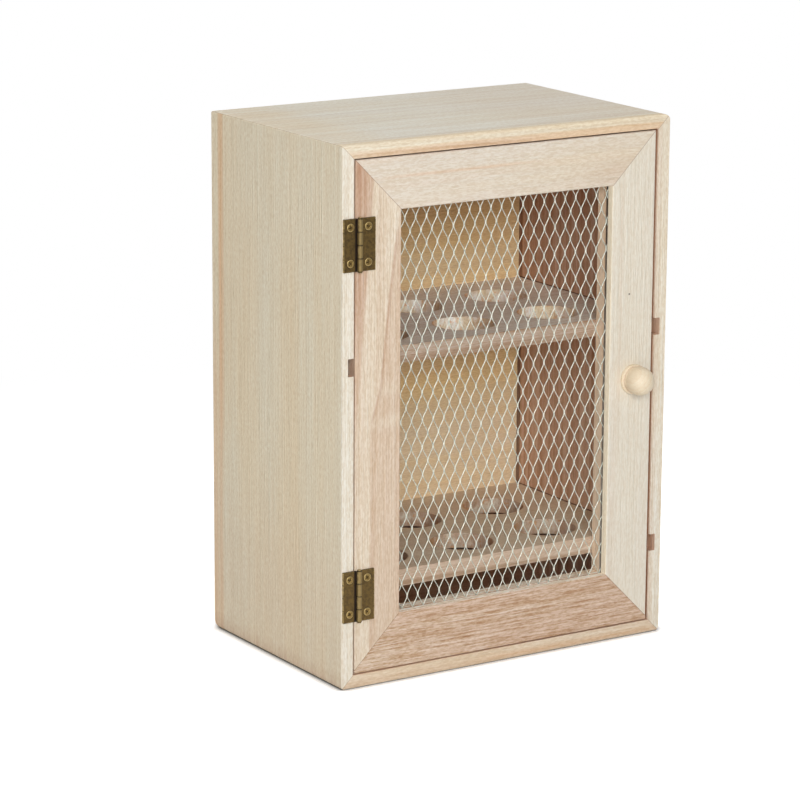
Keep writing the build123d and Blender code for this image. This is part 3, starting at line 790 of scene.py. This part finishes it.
class CABINET_OT_carcass(bpy.types.Operator):
    """Finish the mitred box, its back panel and the staples"""

    bl_idname = "egg_cabinet.carcass"
    bl_label = "Carcass"

    def execute(self, context):
        s = context.scene.egg_cabinet.wood
        mitres = mitres_round("left_side", "right_side", "bottom_board", "top_board", 0.5)
        left_face = (-110, -97, 0.5)
        board(
            "left_side", s, (0, 230, 0),
            zone(s.cream, 0.7, 0.4, y=(-26, 0, 7), z=(30, 220, 40)),
            zone(s.cream, 0.7, 0.4, y=(18, 38, 6), z=(60, 230, 40)),
            zone(s.pink, 0.22, 0.4, z=(-20, 70, 40), x=left_face),
            zone(s.orange, 0.6, 0.4, y=(53, 58, 1.2), z=(120, 330, 60)),
            zone(s.orange, 0.35, 0.4, y=(55, 66, 2), z=(-20, 160, 40)),
            zone(s.brown, 0.35, 0.6, z=(-5, 6, 5), x=left_face),
            zone(s.sapwood, 0.9, 0.1, y=(-70, -64.6, 0.2)),
            *self.inner_face(s, -96.4, -80),
            spacing=9, rings=0.08, fibre=0.1, band=0.02, mitres=mitres, early=s.greywood, late=s.cream,
        )
        gap_wall = (92.9, 93.1, 0.05)
        board(
            "right_side", s, (40, 200, 100),
            zone(s.pink, 0.22, 0.4, x=(92, 95, 1), y=(-70, -64, 0.5)),
            *self.inner_face(s, 80, 96.4),
            # Painted shadow: a dark brown strip on the inner wall behind the door's edge, where the door
            # shades it.
            zone(s.brown, 0.85, 0.3, x=gap_wall, y=(-63.5, -54, 0.2)),
            # Painted light: a bright strip at the front of the inner wall, seen in the narrow space beside the
            # door.
            zone(s.glow, 0.95, 0.2, x=gap_wall, y=(-65.5, -63.7, 0.2)),
            spacing=8, rings=0.2, tint=0.6, late=s.pink, mitres=mitres,
        )
        board(
            "top_board", s, (0, 260, 0),
            zone(s.cream, 0.8, 0.3, y=(-66, -60, 1.5)),
            zone(s.pink, 0.2, 0.5, x=(20, 120, 30), y=(-55, 66, 6)),
            zone(s.cream, 0.5, 0.4, x=(-110, -70, 14), y=(-60, 66, 4)),
            zone(s.orange, 0.4, 0.4, y=FRONT_BAND, z=(270, 276.4, 0.8), x=(-96, 110, 20)),
            zone(s.brown, 0.35, 0.8, y=FRONT_BAND, z=(273, 275.5, 1), x=(-90, 10, 30)),
            zone(s.inner, 0.9, 0.1, z=(270, 273.1, 0.08), y=BEHIND_EDGE),
            grain="x", spacing=11, rings=0.14, fibre=0.11, mitres=mitres, early=s.top_wood,
            tinted=s.greywood,
        )
        board(
            "bottom_board", s, (30, 240, 50),
            zone(s.cream, 0.6, 0.3, y=FRONT_EDGE),
            zone(s.pink, 0.55, 0.6, y=FRONT_EDGE),
            zone(s.orange, 0.28, 0.9, y=FRONT_BAND, z=(1.5, 4.5, 0.9), x=(-10, 100, 20)),
            zone(s.inner, 0.9, 0.1, z=(6.9, 20, 0.08), y=BEHIND_EDGE),
            # Painted shade: dark brown on the bottom board's top face inside, under the lower shelf.
            zone(s.brown, 0.6, 0.3, z=(6.9, 20, 0.08), y=(-40, 70, 0.2)),
            grain="x", spacing=10, rings=0.25, tint=0.8, late=s.pink, mitres=mitres,
        )
        board(
            "back_panel", s, (140, 30, 0),
            # Painted shade towards the top of each compartment.
            zone(s.panel_shade, 0.75, 0.2, z=(210, 330, 26), y=PANEL_FACE),
            zone(s.panel_shade, 0.35, 0.2, z=(130, 170, 18), y=PANEL_FACE),
            # Painted light: paler towards the bottom of the compartment over the lower shelf.
            zone(s.blush, 0.55, 0.2, z=(30, 100, 24), y=PANEL_FACE),
            grain="x", spacing=14, wander=30, rings=0.1, tint=0.6, fibre=0.05, dash=0.2, band=0.02,
            early=s.panel, late=s.orange,
        )
        finish_node("back_staples", metal("back_staples"))
        return {"FINISHED"}

    def inner_face(self, s, low, high):
        """The zones of a side's inner face: brown wood, darker streaks, painted shade towards the top of each
        compartment, and painted shadow lines beside the back panel and above the shelves.
        """
        inside = (low, high, 0.08)
        shelf_tops = [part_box(name)[1][2] / MM for name in ("lower_shelf", "upper_shelf")]
        return (
            zone(s.inner, 0.95, 0.15, x=inside, y=BEHIND_EDGE),
            zone(s.brown, 0.55, 1.0, x=inside, y=BEHIND_EDGE),
            # Painted shadow: a dark line in the back corner, beside the back panel.
            zone(s.gap, 0.85, 0.3, x=inside, y=(58.8, 63, 0.25)),
            # Painted shade: browner towards the top of each compartment, under the shelf or board above.
            zone(s.brown, 0.5, 0.4, x=inside, y=(-61, 70, 1), z=(132, 207, 20)),
            zone(s.brown, 0.75, 0.3, x=inside, y=(-61, 70, 1), z=(210, 290, 24)),
            # Painted shadow: a dark line just above each shelf, where it enters its groove.
            *(
                zone(s.gap, 0.85, 0.1, x=inside, y=(-51.5, 63, 0.2), z=(top, top + 0.7, 0.25))
                for top in shelf_tops
            ),
        )


class CABINET_OT_shelves(bpy.types.Operator):
    """Finish the two pierced shelves"""

    bl_idname = "egg_cabinet.shelves"
    bl_label = "Shelves"

    def execute(self, context):
        s = context.scene.egg_cabinet.wood
        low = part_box("upper_shelf")[0]
        front = (low[1] / MM - 1, low[1] / MM + 0.3, 0.15)
        board(
            "upper_shelf", s, (39, 160, 80),
            zone(s.front_edge, 0.9, 0.35, y=front),
            grain="x", spacing=3.2, wander=8, ripple=1.2, rings=0.26, tint=0.16, fibre=0.18, dash=0.5,
            early=s.upper_taupe, tinted=s.pink, holes=self.holes(low[2], s.cream, s.fuzz),
        )
        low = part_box("lower_shelf")[0]
        lowest = low[2] / MM
        board(
            "lower_shelf", s, (30, 160, 0),
            zone(s.pink, 0.2, 0.3, y=(12, 80, 14)),
            zone(s.rail_wood, 0.85, 0.3, y=front),
            zone(s.pink, 0.8, 0.6, y=front),
            zone(s.front_edge, 0.7, 0.8, y=(-53, -51, 0.5), z=(lowest, lowest + 2.4, 0.8)),
            grain="x", spacing=3.2, wander=8, ripple=1.2, rings=0.15, tint=0.3, fibre=0.07, dash=0.5,
            early=s.taupe, tinted=s.pink, holes=self.holes(low[2], s.pink, s.blush),
        )
        return {"FINISHED"}

    def holes(self, underside, first, second):
        """Where the egg holes are, how high the painted shade at the bottom of their walls reaches, and two
        colours of torn wood.
        """
        return EGG_HOLES, underside + PAINTED_SHADE_RIM, first, second


class CABINET_OT_door_frame(bpy.types.Operator):
    """Finish the four mitred members of the door"""

    bl_idname = "egg_cabinet.door_frame"
    bl_label = "Door Frame"

    def execute(self, context):
        s = context.scene.egg_cabinet.wood
        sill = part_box("door_bottom_rail")[1][2] / MM
        mitres = mitres_round("door_hinge_stile", "door_knob_stile", "door_bottom_rail", "door_top_rail", 0.7)
        steep, steeper, edgewise = (1, 0, -0.122), (1, 0, -0.31), (1, 0, -0.08)
        leaf_bed = {"x": (-95, -90, 0.1), "y": (-66, -64, 0.2)}
        board(
            "door_hinge_stile", s, (50, 20, 0),
            zone(s.pink, 0.65, 0.3, (steep, -96.8, 300, 0.8), z=(156, 236, 4)),
            zone(s.pink, 0.65, 0.3, (steeper, -126, 300, 0.8), z=(139, 153, 4)),
            zone(s.pink, 0.65, 0.3, x=(-83.4, 0, 0.6), z=(-20, 136, 4)),
            zone(s.brown, 0.5, 0.4, (steep, -96.8, -95.4, 0.7), z=(156, 232, 6)),
            zone(s.brown, 0.45, 0.4, (steeper, -126, -124.8, 0.6), z=(139, 156, 3)),
            zone(s.pink, 0.85, 0.4, (edgewise, -130, -102.2, 0.8), z=(140, 300, 12)),
            zone(s.brown, 0.75, 0.8, (edgewise, -130, -102.6, 0.8), z=(190, 300, 24)),
            # Painted shadow: the stile dark round the hinge leaves, where it shows beside the barrels.
            zone(s.gap, 0.95, 0.0, **leaf_bed, z=(217, 243, 0.2)),
            zone(s.gap, 0.95, 0.0, **leaf_bed, z=(36, 62, 0.2)),
            spacing=7, wander=10, rings=0.4, tint=0.22, fibre=0.1, dash=0.5, speckle=0.08, early=s.blush,
            late=s.pink, tinted=s.pink, mitres=mitres,
        )
        window_side = (60, 64.5, 0.05)
        board(
            "door_knob_stile", s, (-120, 10, 60),
            zone(s.pink, 0.15, 0.6, x=(66, 70, 2), z=(-10, 140, 40)),
            zone(s.pink, 0.22, 0.8, x=(69.5, 71.5, 0.8), z=(120, 250, 30)),
            zone(s.gap, 0.9, 0.0, x=(75.6, 76.5, 0.29), y=(-66, -64.5, 0.1), z=(186.6, 187.5, 0.29)),
            zone(s.reveal, 0.95, 0.2, x=window_side, y=(-64.8, -60.4, 0.1)),
            # Painted shade: a dark line in the kerf that holds the wire mesh.
            zone(s.gap, 1.0, 0.4, x=(60, 70, 0.1), y=(-60.8, -58.8, 0.1)),
            zone(s.reveal_back, 0.9, 0.4, x=window_side, y=(-59, -52.2, 0.1)),
            spacing=6, wander=8, rings=0.05, tint=0.2, fibre=0.04, dash=0.5, band=0.012, speckle=0.045,
            pore=0.1, late=s.cream, tinted=s.greywood, mitres=mitres,
        )
        board(
            "door_top_rail", s, (300, 20, 30),
            zone(s.orange, 0.35, 0.5, z=(261.5, 263, 0.6), x=(-70, 10, 20)),
            zone(s.pink, 0.4, 0.6, x=(50, 100, 20), z=(240, 258, 6)),
            # Painted shade: a darker top face, seen through the narrow space under the top board.
            zone(s.joint, 0.6, 0.2, z=(271.4, 274, 0.1), y=(-64.2, -50, 0.2)),
            grain="x", spacing=9, wander=8, rings=0.1, tint=0.4, fibre=0.055, dash=0.5, band=0.02,
            early=s.rail_wood, late=s.orange, mitres=mitres,
        )
        board(
            "door_bottom_rail", s, (-10, 60, 0),
            # Pale sill under the wire mesh, partly pale fibres and partly painted light where the top board
            # shades it.
            zone(s.glow, 1.0, 0.1, z=(sill - 0.1, sill + 4, 0.05), y=(-64.7, -50, 0.2)),
            grain="x", spacing=1.9, wander=9, ripple=1.6, rings=0.35, tint=0.7, fibre=0.34, dash=0.75,
            band=0.05, speckle=0.14, pore=0.2, early=s.pink, tinted=s.taupe, mitres=mitres,
        )
        return {"FINISHED"}


class CABINET_OT_wire_mesh(bpy.types.Operator):
    """Make the expanded metal sheet from its winding strands"""

    bl_idname = "egg_cabinet.wire_mesh"
    bl_label = "Wire Mesh"

    def execute(self, context):
        s = context.scene.egg_cabinet.mesh
        low, high = (np.array(corner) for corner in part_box("wire_mesh"))
        points, faces = self.strands(s, low, high)
        new_piece("door_wire_mesh", points, faces, self.zinc(s), "door", "wire_mesh")
        return {"FINISHED"}

    def strands(self, s, low, high):
        """Every strand as a ribbon of six sides carried up a winding line.

        With t from 0 to 1 over one diamond, the line's offset goes from one bond to the other as a
        smooth step, stays there for the length of a bond, and comes back. The ribbon is turned about
        its line by the louvre angle times the slope, so that both slants face up and forward.
        """
        stops = np.array([0.0, 0.045, 0.11, 0.25, 0.39, 0.455])
        rows = int(np.ceil((high[2] - low[2]) / s.pitch_up)) + 1
        t = (np.arange(-rows, 1)[:, None] + np.concatenate([stops, stops + 0.5])).ravel()
        z = high[2] - s.top_row + t * s.pitch_up
        inside = (z >= low[2]) & (z <= high[2])
        t, z = t[inside], z[inside]
        bond = s.bond / s.pitch_up / 2

        def swing(t):
            """Goes between minus one and one, with flat bonds at both ends."""
            half = np.abs((t % 1.0) * 2 - 1)
            rise = np.clip((half - 2 * bond) / (1 - 4 * bond), 0, 1)
            return 2 * (rise - 0.3 * np.sin(2 * np.pi * rise) / (2 * np.pi)) - 1

        count = int(np.floor((high[0] - low[0]) / s.pitch_across * 2)) + 1
        strand = np.arange(count)
        sign = np.where(strand % 2 == 0, 1.0, -1.0)
        reach = s.pitch_across / 4 - s.strand_width * 0.46
        middle = low[0] + (strand + 0.5) * s.pitch_across / 2

        def line(t, z):
            """Place of every strand at these heights."""
            x = middle[:, None] + sign[:, None] * reach * swing(t)[None, :]
            x = x + ((low[2] + high[2]) / 2 - z)[None, :] * math.tan(s.lean)
            rise = np.broadcast_to(z, x.shape)
            over, up = self.stray(s.unevenness, x, rise)
            return np.stack([x + over, np.zeros_like(x), rise + up], axis=-1)

        step = 1e-4
        ahead, behind = line(t + step, z + step * s.pitch_up), line(t - step, z - step * s.pitch_up)
        slope = (ahead - behind) / 2 / step
        slope /= np.linalg.norm(slope, axis=-1, keepdims=True)
        turn = s.louvre * np.clip(slope[..., :1] / 0.42, -1, 1)
        forward = np.array([0.0, -1.0, 0.0])
        beside = np.cross(slope, forward)
        across = np.cos(turn) * beside + np.sin(turn) * forward
        normal = np.cos(turn) * forward - np.sin(turn) * beside
        section = np.array([(-1, 0), (-0.72, 1), (0.72, 1), (1, 0), (0.72, -1), (-0.72, -1)])
        wide = section[:, :1] * (s.strand_width / 2) * across[..., None, :]
        thick = section[:, 1:] * (s.strand_thickness / 2) * normal[..., None, :]
        points = line(t, z)[..., None, :] + (wide + thick)
        points[..., 1] += (low[1] + high[1]) / 2
        points[..., 0] = np.clip(points[..., 0], low[0], high[0])
        sides, rings = len(section), len(t)
        start = (strand * rings * sides)[:, None]
        quads = (ring_faces(rings, sides) + start[..., None]).reshape(-1, 4)
        first = np.arange(sides)[::-1] + start
        last = np.arange(sides) + start + (rings - 1) * sides
        return points, quads.tolist() + first.tolist() + last.tolist()

    def stray(self, amount, x, z):
        """A slow unevenness: sums of waves over the sheet, as far as the amount each way."""
        over = np.sin(x * 61 + z * 23) + np.sin(z * 171 - x * 37 + 1.3)
        up = np.sin(x * 83 - z * 41 + 0.7) + np.sin(x * 29 + z * 97 + 2.1)
        return amount * over / 2, amount * up

    def zinc(self, s):
        """Pale zinc with duller patches."""
        steps, here = new_material("mesh_zinc")
        blotched = steps.group(mottle, vector=here, size=2 * MM)
        painted = steps.mix(blotched["Blotches"], s.dull_zinc, s.zinc)
        return metal_surface(steps, blotched, painted, 0.3, 0.12, 0.02)


class CABINET_OT_hinges(bpy.types.Operator):
    """Finish the hinge leaves and pins in antique brass"""

    bl_idname = "egg_cabinet.hinges"
    bl_label = "Hinges"

    def execute(self, context):
        s = context.scene.egg_cabinet.hinge
        for place in ("lower", "upper"):
            for part in ("cabinet_leaf", "door_leaf", "pin"):
                name = f"{place}_hinge_{part}"
                finish_node(name, self.brass(s, name, place))
        return {"FINISHED"}

    def brass(self, s, name, place):
        """Dark patina, lighter along the leaf's border from wear and along the barrel from wear and a painted
        highlight.

        Patina fills the seams, and painted shadow darkens the hollow beside the barrel and the countersinks.
        """
        steps, here = new_material(name + "_brass")
        low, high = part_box(name)
        pin = middle_of(place + "_hinge_pin")
        x, y, z = steps.apart(here)
        blotched = steps.group(mottle, vector=here, size=1.6 * MM)
        flat = steps.node("CombineXYZ", (x, y, 0.0))[0]
        radius = steps.vector("LENGTH", steps.vector("SUBTRACT", flat, (pin.x, pin.y, 0.0)))
        barrel = steps.ease(radius, 1.38 * MM, 1.6 * MM, 1.0, 0.0)
        seam = self.seams(steps, z, place)

        def border(value, axis):
            """Mask of the leaf's two borders across one axis."""
            middle, half = (low[axis] + high[axis]) / 2, (high[axis] - low[axis]) / 2
            off = steps.math("ABSOLUTE", steps.minus(value, middle))
            return steps.ease(off, half - 0.5 * MM, half - 0.05 * MM)

        edges = steps.most(border(x, 0), border(z, 2))
        worn_share = steps.scaled_plus(blotched["Blotches"], 0.5, 0.15)
        # Wear on the border, and a painted highlight along the barrel.
        edge_wear_and_barrel_highlight = steps.most(steps.times(edges, worn_share), steps.times(barrel, 0.2))
        edge_wear_and_barrel_highlight = steps.times(edge_wear_and_barrel_highlight, steps.minus(1.0, seam))
        # Painted shadow in the hollow beside the barrel.
        hollow = steps.within(steps.minus(x, pin.x), -2.7 * MM, -1.3 * MM, 0.35 * MM)
        hollow = steps.times(hollow, steps.ease(radius, 1.36 * MM, 1.5 * MM))
        patina_and_shade_mask = steps.most(steps.times(steps.times(barrel, seam), 0.6), hollow)
        # Painted shade round the screws' heads.
        patina_and_shade_mask = steps.most(patina_and_shade_mask, self.countersinks(steps, here, s))
        dark = steps.mix(patina_and_shade_mask, steps.mix(blotched["Blotches"], s.patina, s.brass), s.crevice)
        return metal_surface(steps, blotched, steps.mix(edge_wear_and_barrel_highlight, dark, s.worn), 0.75, 0.05, 0.05)

    def seams(self, steps, z, place):
        """Mask of the seams between the four knuckles, at even heights up the leaf."""
        bottom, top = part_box(place + "_hinge_cabinet_leaf")[0][2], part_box(place + "_hinge_door_leaf")[1][2]
        part = steps.math("DIVIDE", steps.minus(z, bottom), (top - bottom) / 4)
        off = steps.math("ABSOLUTE", steps.minus(part, steps.math("ROUND", part)))
        return steps.ease(off, 0.02, 0.07, 1.0, 0.0)

    def countersinks(self, steps, here, s):
        """Mask of the painted shade round the screws' heads, in their countersinks."""
        mask = 0.0
        for group in SCREW_ROWS:
            low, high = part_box(group)
            for height in screw_heights():
                radius = steps.radius_about(here, (low[0] + high[0]) / 2, height)
                rim = steps.ease(radius, s.head_radius, s.head_radius + 0.5 * MM, 0.8, 0.0)
                mask = steps.most(mask, rim)
        return mask


def screw_heights():
    """Heights of the four screws of one row: near each end of both hinges."""
    middles = [middle_of(place + "_hinge_door_leaf").z for place in ("lower", "upper")]
    return [middle + rise for middle in middles for rise in (-SCREW_RISE, SCREW_RISE)]


class CABINET_OT_hinge_screws(bpy.types.Operator):
    """Make the domed screws with cross recesses that hold the hinges"""

    bl_idname = "egg_cabinet.hinge_screws"
    bl_label = "Hinge Screws"

    def execute(self, context):
        s = context.scene.egg_cabinet.hinge
        for group, (body, turns) in SCREW_ROWS.items():
            low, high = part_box(group)
            x = (low[0] + high[0]) / 2
            local = self.screw(s, high[1] - low[1])
            placed_screws = [
                self.driven(local, turn, x, low[1], z) for z, turn in zip(screw_heights(), turns)
            ]
            rings = (len(local) - 2) // SCREW_SIDES
            faces = turned_faces(rings, SCREW_SIDES)
            starts = range(0, len(turns) * len(local), len(local))
            every = [[index + start for index in face] for start in starts for face in faces]
            material = self.brass(s, group, x, low[1])
            new_piece(group + "_domed", np.stack(placed_screws), every, material, body, group)
        return {"FINISHED"}

    def brass(self, s, name, x, front):
        """Brass with a painted highlight round the rim of each head and painted shade in its recess."""
        steps, here = new_material(name + "_brass")
        blotched = steps.group(mottle, vector=here, size=1.2 * MM)
        painted = steps.mix(blotched["Blotches"], s.brass, s.screw)
        for height in screw_heights():
            radius = steps.radius_about(here, x, height)
            # Painted highlight round the rim of each head.
            rim = steps.within(radius, s.head_radius - 0.35 * MM, s.head_radius + 0.1 * MM, 0.15 * MM)
            painted = steps.mix(steps.times(rim, 0.3), painted, s.worn)
        # Painted shade in the cross recess.
        deep = steps.ease(steps.apart(here)[1], front + 0.1 * MM, front + 0.5 * MM, 0.0, 0.7)
        return metal_surface(steps, blotched, steps.mix(deep, painted, s.crevice), 0.75, None, 0.03)

    def screw(self, s, tip):
        """A screw that points down: a dome cut by a cross, a cone under it, and a tapering shank.

        The dome's height falls with the square of the radius. The recess is the deeper of two arms,
        each the lesser of two ramps, one across the arm and one along it.
        """
        rim_height = 0.04 * MM
        top = turned_points(HEAD_RINGS * s.head_radius, np.zeros(len(HEAD_RINGS)), SCREW_SIDES)
        dome = s.dome * (1 - HEAD_RINGS**2) + rim_height * (HEAD_RINGS < 1)
        u, v = top[..., 0], top[..., 1]

        def arm(along, across):
            """Depth share of one arm of the cross."""
            side = np.clip(1.35 - np.abs(across) / s.recess_width, 0, 1)
            end = np.clip((s.recess_reach - np.abs(along)) / (0.45 * s.recess_reach), 0, 1)
            return np.minimum(side, end)

        top[..., 2] = dome[:, None] - s.recess_depth * np.maximum(arm(u, v), arm(v, u))
        shank_heights = np.array([-0.05 * MM, -0.9 * MM, -2 * MM, -tip * 0.75, -tip * 0.98])
        under = turned_points(SHANK_RADII * MM, shank_heights, SCREW_SIDES)
        rings = np.concatenate([under[::-1], top[::-1]])
        poles = np.array([[0, 0, -tip], [0, 0, s.dome + rim_height - s.recess_depth]])
        return np.concatenate([rings.reshape(-1, 3), poles])

    def driven(self, local, turn, x, leaf_y, z):
        """A screw turned about its axis and driven backwards into the wood at this place."""
        c, d = math.cos(turn), math.sin(turn)
        across = local[:, 0] * c - local[:, 1] * d
        up = local[:, 0] * d + local[:, 1] * c
        return np.stack([x + across, leaf_y - local[:, 2], z + up], axis=-1)


class CABINET_OT_knob(bpy.types.Operator):
    """Turn the knob with its base, bead, groove and ball"""

    bl_idname = "egg_cabinet.knob"
    bl_label = "Knob"

    def execute(self, context):
        s = context.scene.egg_cabinet
        low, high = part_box("knob")
        x, z = (low[0] + high[0]) / 2, (low[2] + high[2]) / 2
        radii, heights = self.profile((high[1] - low[1]) / MM)
        points = turned_points(radii, heights, s.knob.steps)
        poles = np.array([[0, 0, 0], [0, 0, high[1] - low[1]]])
        local = np.concatenate([points.reshape(-1, 3), poles])
        points = np.stack([x + local[:, 0], high[1] - local[:, 2], z + local[:, 1]], axis=-1)
        faces = turned_faces(len(radii), s.knob.steps)
        new_piece("turned_knob", points, faces, self.finish(s), "door", "knob")
        return {"FINISHED"}

    def profile(self, height):
        """Radius against height: a base with a rounded rim, a bead, a groove, and a ball over them.

        The ball is a circle above its middle and a longer ellipse below it.
        """
        centre = height - KNOB_BALL
        lowest = math.asin((KNOB_NECK - centre) / KNOB_UNDERSIDE)
        angles = np.linspace(lowest, math.radians(87), 26)
        tall = np.where(angles < 0, KNOB_UNDERSIDE, KNOB_BALL)
        ball = np.stack([KNOB_BALL * np.cos(angles), centre + tall * np.sin(angles)], axis=-1)
        whole = np.concatenate([np.array(KNOB_BASE), np.array(KNOB_BEAD), ball]) * MM
        return whole[:, 0], whole[:, 1]

    def finish(self, s):
        """Cream wood with growth lines that run through the knob along its axis, and painted shade in the
        grooves and where the base meets the door.
        """
        steps, here = new_material("knob_wood_turned")
        local = steps.vector("SUBTRACT", here, tuple(middle_of("knob")))
        values = {"Vector": local, "Location": (0.042, 0.034, 0), "Rotation": GRAIN_TURNS["y"]}
        turned = steps.node("Mapping", values)[0]
        found = figured(
            steps, turned, spacing=2.2, wander=2, ripple=0.3, rings=0.4, fibre=0.06, dash=0.3, band=0.02,
            speckle=0.03, pore=0.05, tint=0.3, early=s.knob.wood, late=s.knob.line, tinted=s.wood.sapwood,
        )
        painted = steps.shade(found["Color"], found["Shade"])
        height = steps.minus(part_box("knob")[1][1], steps.apart(here)[1])
        # Painted shade in the two grooves and where the base meets the door.
        for low, high in ((2.1, 2.35), (3.5, 3.8), (-0.2, 0.15)):
            groove = steps.within(height, low * MM, high * MM, 0.15 * MM)
            painted = steps.mix(steps.times(groove, 0.4), painted, s.wood.brown)
        normal = steps.bump(found["Height"], 0.04 * MM)
        return steps.surface(base_color=painted, roughness=0.45, specular=0.4, normal=normal)


class CABINET_OT_catch(bpy.types.Operator):
    """Finish the magnet catch and the screw behind the knob"""

    bl_idname = "egg_cabinet.catch"
    bl_label = "Catch"

    def execute(self, context):
        for node in ("catch_magnet", "catch_strike", "knob_screw"):
            finish_node(node, metal(node))
        return {"FINISHED"}


class CABINET_PT_panel(bpy.types.Panel):
    """Lists the steps of the egg cabinet and their settings"""

    bl_idname = "CABINET_PT_panel"
    bl_label = "Egg Cabinet"
    bl_space_type = "VIEW_3D"
    bl_region_type = "UI"
    bl_category = "Egg Cabinet"

    def draw(self, context):
        layout = self.layout
        for operator in OPERATORS:
            layout.operator(operator.bl_idname)
        cabinet = context.scene.egg_cabinet
        for title in ("stage", "wood", "mesh", "hinge", "knob"):
            box = layout.box()
            box.label(text=title.title())
            settings = getattr(cabinet, title)
            for key in settings.__annotations__:
                box.prop(settings, key)


OPERATORS = (
    CABINET_OT_stage,
    CABINET_OT_carcass,
    CABINET_OT_shelves,
    CABINET_OT_door_frame,
    CABINET_OT_wire_mesh,
    CABINET_OT_hinges,
    CABINET_OT_hinge_screws,
    CABINET_OT_knob,
    CABINET_OT_catch,
)
SETTINGS = (StageSettings, WoodSettings, MeshSettings, HingeSettings, KnobSettings, CabinetSettings)


def register():
    for made in (*SETTINGS, *OPERATORS, CABINET_PT_panel):
        bpy.utils.register_class(made)
    bpy.types.Scene.egg_cabinet = PointerProperty(type=CabinetSettings)


def unregister():
    del bpy.types.Scene.egg_cabinet
    for made in reversed((*SETTINGS, *OPERATORS, CABINET_PT_panel)):
        bpy.utils.unregister_class(made)


def main():
    """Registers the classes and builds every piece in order."""
    register()
    for operator in OPERATORS:
        group, name = operator.bl_idname.split(".")
        getattr(getattr(bpy.ops, group), name)()


if __name__ == "__main__":
    main()
